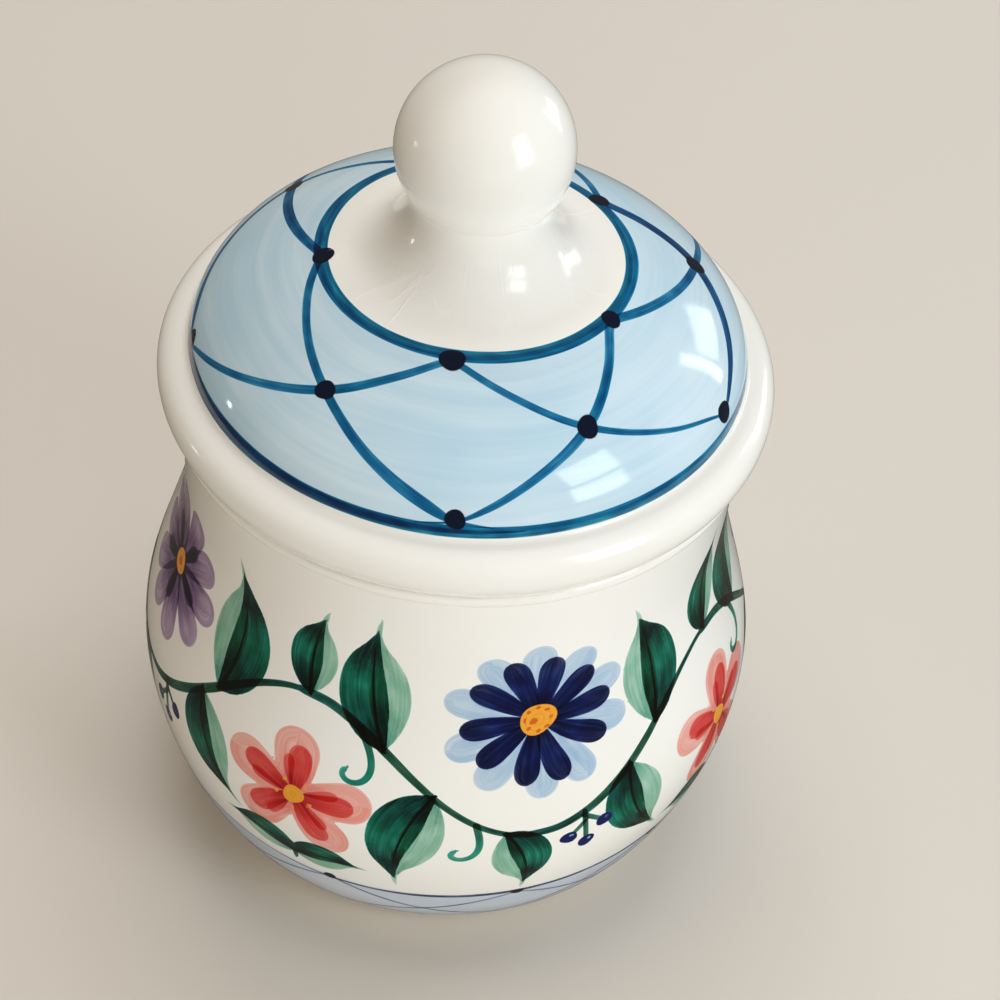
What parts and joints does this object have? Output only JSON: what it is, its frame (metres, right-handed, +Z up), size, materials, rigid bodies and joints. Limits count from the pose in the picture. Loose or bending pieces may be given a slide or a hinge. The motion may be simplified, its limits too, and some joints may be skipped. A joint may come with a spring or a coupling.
{
  "type": "kitchen canister",
  "caption": "Round glazed ceramic canister with a full belly, a drawn-in neck and a domed lift-off lid with a ball knob.",
  "frame": {"origin": "middle of the foot ring's resting face, where the axis of turning meets the table", "axes": "+Z up along the axis of turning, -Y towards the front that the picture shows, +X to the right of that front"},
  "size_m": [0.1754, 0.1754, 0.2496],
  "materials": {
    "jar_glaze": "clear gloss glaze over an ivory body with painted flowers and leaves",
    "lid_glaze": "clear gloss glaze over a pale blue brushed band with dark blue lines and dots",
    "knob_glaze": "clear gloss glaze over a plain ivory body, finely crazed"
  },
  "bodies": {
    "jar": {"jar_body": "jar_glaze"},
    "lid_with_knob": {"lid": "lid_glaze", "knob": "knob_glaze"}
  },
  "joints": [
    {"name": "lid_lift", "type": "slide", "parent": "jar", "child": "lid_with_knob", "axis": [0, 0, 1], "range_m": [0, 0.12]}
  ]
}
